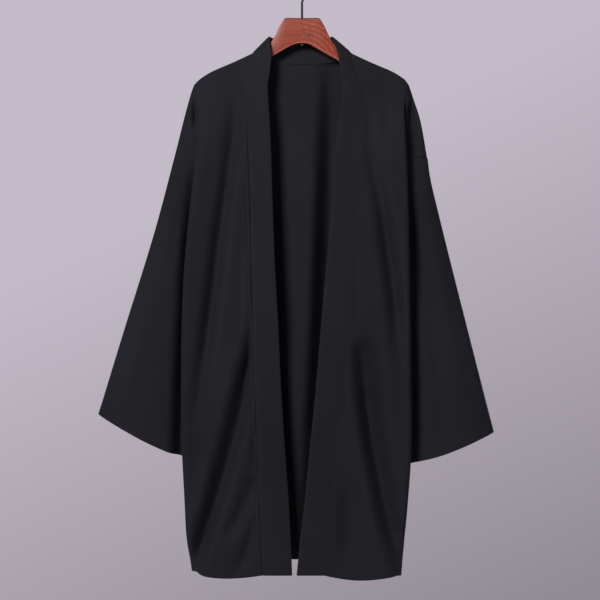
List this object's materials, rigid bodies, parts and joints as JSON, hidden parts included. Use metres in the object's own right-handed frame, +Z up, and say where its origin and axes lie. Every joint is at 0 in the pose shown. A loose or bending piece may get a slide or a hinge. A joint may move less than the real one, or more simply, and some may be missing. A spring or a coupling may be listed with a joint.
{
  "type": "haori jacket on a wooden hanger",
  "caption": "Long open-front haori jacket with dropped shoulders, wide sleeves and a straight neckband, hanging on a wooden hanger with a wire hook.",
  "frame": {"origin": "inside top of the hook's curl, where a rod holds it", "axes": "+Z up, the garment's front faces -Y, +X is the wearer's left"},
  "size_m": [0.7124, 0.103, 1.092],
  "materials": {
    "cloth": "matt black plain weave with a faint sheen",
    "wood": "reddish brown satin varnish",
    "wire": "dark plated wire"
  },
  "bodies": {
    "root": {"back_panel": "cloth", "front_left": "cloth", "front_right": "cloth", "sleeve_left": "cloth", "sleeve_right": "cloth", "neckband": "cloth", "hanger_wood": "wood", "hook_wire": "wire"}
  },
  "joints": []
}
